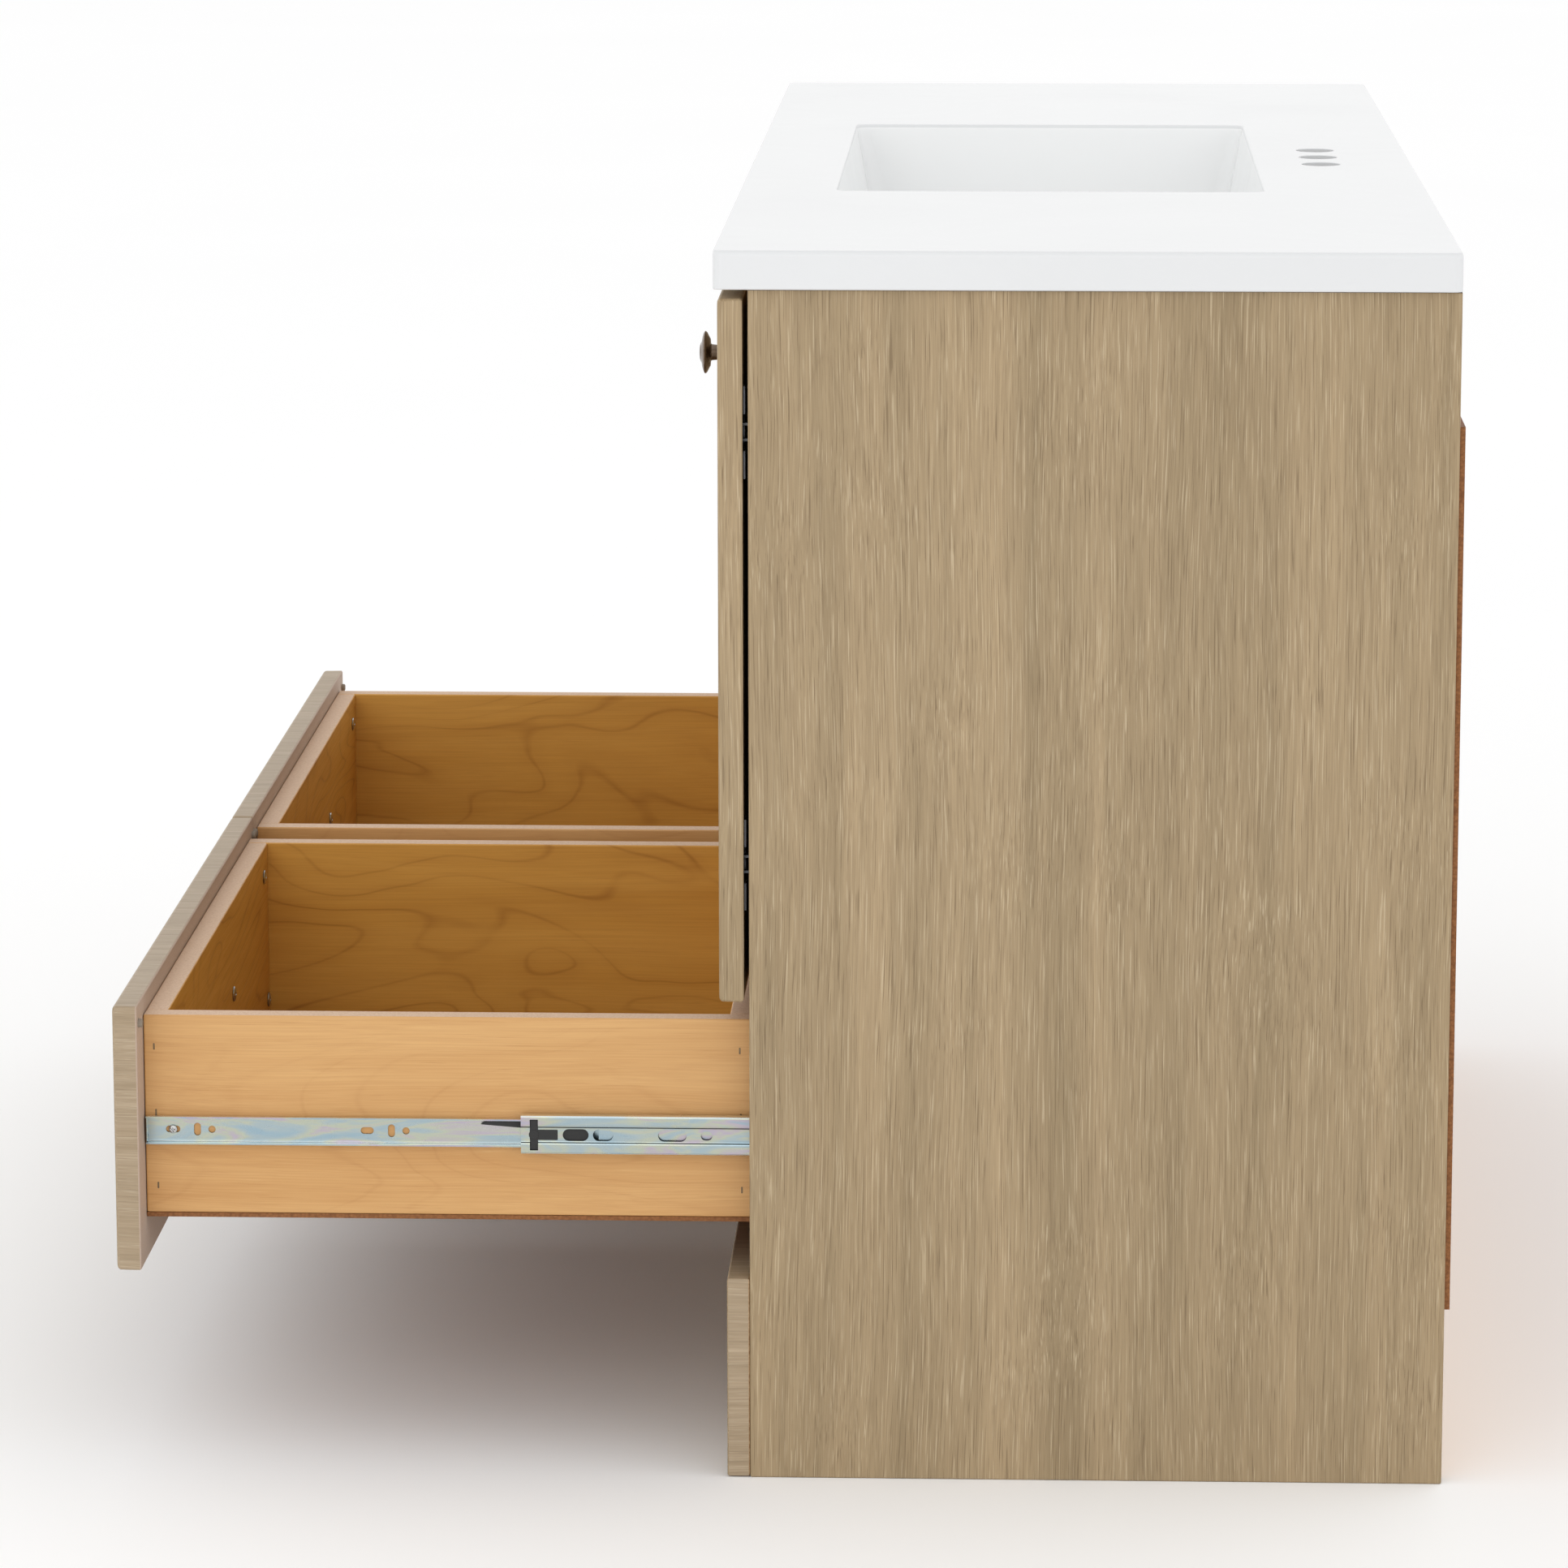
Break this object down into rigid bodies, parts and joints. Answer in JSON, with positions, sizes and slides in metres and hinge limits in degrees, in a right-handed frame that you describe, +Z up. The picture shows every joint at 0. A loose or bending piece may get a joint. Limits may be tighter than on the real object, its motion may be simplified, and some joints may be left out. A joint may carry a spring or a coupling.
{
  "type": "bathroom vanity",
  "caption": "Bathroom vanity with a white moulded top and rectangular basin, hinged doors above and full-extension drawers below.",
  "frame": {"origin": "on the floor at the back of the carcass, centre of the width", "axes": "+X to the right of someone facing the doors, +Y into the wall, +Z up; the doors and drawers face -Y"},
  "size_m": [1.232, 0.9055, 0.812],
  "materials": {
    "moulded_top": "gloss white cultured marble",
    "oak_laminate": "grey-brown oak print, matt, upright grain",
    "maple_board": "honey maple print, satin, raw pale edges",
    "hardboard": "brown hardboard",
    "zinc_steel": "bright zinc with a faint rainbow",
    "knob_metal": "dark warm satin nickel",
    "black_plastic": "black nylon",
    "rubber_bumper": "grey-brown rubber",
    "white_plastic": "off-white plastic",
    "screw_steel": "zinc-plated steel"
  },
  "bodies": {
    "cabinet": {"vanity_top": "moulded_top", "right_side_panel": "oak_laminate", "left_side_panel": "oak_laminate", "base_board": "oak_laminate", "cabinet_floor": "maple_board", "deck_panel": "maple_board", "right_partition": "maple_board", "left_partition": "maple_board", "drawer_partition": "maple_board", "back_panel": "hardboard", "front_rail": "maple_board", "back_rails": "maple_board", "corner_blocks": "white_plastic", "cabinet_screws": "screw_steel", "cabinet_slides": "zinc_steel", "hinge_arms": "zinc_steel"},
    "right_drawer": {"right_drawer_front": "oak_laminate", "right_drawer_box_front": "maple_board", "right_drawer_box_back": "maple_board", "right_drawer_outer_side": "maple_board", "right_drawer_inner_side": "maple_board", "right_drawer_bottom": "hardboard", "right_drawer_pull": "knob_metal", "right_drawer_screws": "screw_steel", "right_drawer_bumpers": "rubber_bumper", "right_drawer_slides": "zinc_steel"},
    "right_middle_slides": {"right_middle_slides": "zinc_steel", "right_slide_retainers": "black_plastic"},
    "right_outer_lever": {"right_drawer_outer_lever": "black_plastic"},
    "right_inner_lever": {"right_drawer_inner_lever": "black_plastic"},
    "left_drawer": {"left_drawer_front": "oak_laminate", "left_drawer_box_front": "maple_board", "left_drawer_box_back": "maple_board", "left_drawer_outer_side": "maple_board", "left_drawer_inner_side": "maple_board", "left_drawer_bottom": "hardboard", "left_drawer_pull": "knob_metal", "left_drawer_screws": "screw_steel", "left_drawer_bumpers": "rubber_bumper", "left_drawer_slides": "zinc_steel"},
    "left_middle_slides": {"left_middle_slides": "zinc_steel", "left_slide_retainers": "black_plastic"},
    "left_outer_lever": {"left_drawer_outer_lever": "black_plastic"},
    "left_inner_lever": {"left_drawer_inner_lever": "black_plastic"},
    "right_door": {"right_door_panel": "oak_laminate", "right_door_knob": "knob_metal", "right_door_hinge_cups": "zinc_steel"},
    "right_door_links": {"right_door_hinge_links": "zinc_steel"},
    "centre_right_door": {"centre_right_door_panel": "oak_laminate", "centre_right_door_knob": "knob_metal", "centre_right_door_hinge_cups": "zinc_steel"},
    "centre_right_door_links": {"centre_right_door_hinge_links": "zinc_steel"},
    "centre_left_door": {"centre_left_door_panel": "oak_laminate", "centre_left_door_knob": "knob_metal", "centre_left_door_hinge_cups": "zinc_steel"},
    "centre_left_door_links": {"centre_left_door_hinge_links": "zinc_steel"},
    "left_door": {"left_door_panel": "oak_laminate", "left_door_knob": "knob_metal", "left_door_hinge_cups": "zinc_steel"},
    "left_door_links": {"left_door_hinge_links": "zinc_steel"}
  },
  "joints": [
    {"name": "right_drawer_slide", "type": "slide", "parent": "cabinet", "child": "right_drawer", "axis": [0, -1, 0], "range_m": [-0.3965, 0]},
    {"name": "right_middle_run", "type": "slide", "parent": "cabinet", "child": "right_middle_slides", "axis": [0, -1, 0], "range_m": [-0.153, 0]},
    {"name": "right_outer_lever_press", "type": "hinge", "parent": "right_drawer", "child": "right_outer_lever", "pos_m": [0.5836, -0.5907, 0.226], "axis": [1, 0, 0], "range_deg": [0, 6], "stiffness_Nm_per_rad": 0.05},
    {"name": "right_inner_lever_press", "type": "hinge", "parent": "right_drawer", "child": "right_inner_lever", "pos_m": [0.0179, -0.5907, 0.226], "axis": [1, 0, 0], "range_deg": [-6, 0], "stiffness_Nm_per_rad": 0.05},
    {"name": "left_drawer_slide", "type": "slide", "parent": "cabinet", "child": "left_drawer", "axis": [0, -1, 0], "range_m": [-0.3965, 0]},
    {"name": "left_middle_run", "type": "slide", "parent": "cabinet", "child": "left_middle_slides", "axis": [0, -1, 0], "range_m": [-0.153, 0]},
    {"name": "left_outer_lever_press", "type": "hinge", "parent": "left_drawer", "child": "left_outer_lever", "pos_m": [-0.5836, -0.5907, 0.226], "axis": [1, 0, 0], "range_deg": [0, 6], "stiffness_Nm_per_rad": 0.05},
    {"name": "left_inner_lever_press", "type": "hinge", "parent": "left_drawer", "child": "left_inner_lever", "pos_m": [-0.0179, -0.5907, 0.226], "axis": [1, 0, 0], "range_deg": [-6, 0], "stiffness_Nm_per_rad": 0.05},
    {"name": "right_door_hinge", "type": "hinge", "parent": "cabinet", "child": "right_door", "pos_m": [0.6095, -0.4735, 0.55075], "axis": [0, 0, 1], "range_deg": [0, 90]},
    {"name": "right_door_link_swing", "type": "hinge", "parent": "cabinet", "child": "right_door_links", "pos_m": [0.589, -0.4655, 0.55075], "axis": [0, 0, 1], "range_deg": [0, 103.5]},
    {"name": "centre_right_door_hinge", "type": "hinge", "parent": "cabinet", "child": "centre_right_door", "pos_m": [0.304, -0.4735, 0.55075], "axis": [0, 0, 1], "range_deg": [0, 90]},
    {"name": "centre_right_door_link_swing", "type": "hinge", "parent": "cabinet", "child": "centre_right_door_links", "pos_m": [0.2835, -0.4655, 0.55075], "axis": [0, 0, 1], "range_deg": [0, 103.5]},
    {"name": "centre_left_door_hinge", "type": "hinge", "parent": "cabinet", "child": "centre_left_door", "pos_m": [-0.304, -0.4735, 0.55075], "axis": [0, 0, -1], "range_deg": [0, 90]},
    {"name": "centre_left_door_link_swing", "type": "hinge", "parent": "cabinet", "child": "centre_left_door_links", "pos_m": [-0.2835, -0.4655, 0.55075], "axis": [0, 0, -1], "range_deg": [0, 103.5]},
    {"name": "left_door_hinge", "type": "hinge", "parent": "cabinet", "child": "left_door", "pos_m": [-0.6095, -0.4735, 0.55075], "axis": [0, 0, -1], "range_deg": [0, 90]},
    {"name": "left_door_link_swing", "type": "hinge", "parent": "cabinet", "child": "left_door_links", "pos_m": [-0.589, -0.4655, 0.55075], "axis": [0, 0, -1], "range_deg": [0, 103.5]}
  ],
  "couplings": [
    {"joint": "right_middle_run", "follows": "right_drawer_slide", "ratio": 0.38588},
    {"joint": "left_middle_run", "follows": "left_drawer_slide", "ratio": 0.38588},
    {"joint": "right_door_link_swing", "follows": "right_door_hinge", "ratio": 1.15},
    {"joint": "centre_right_door_link_swing", "follows": "centre_right_door_hinge", "ratio": 1.15},
    {"joint": "centre_left_door_link_swing", "follows": "centre_left_door_hinge", "ratio": 1.15},
    {"joint": "left_door_link_swing", "follows": "left_door_hinge", "ratio": 1.15}
  ]
}
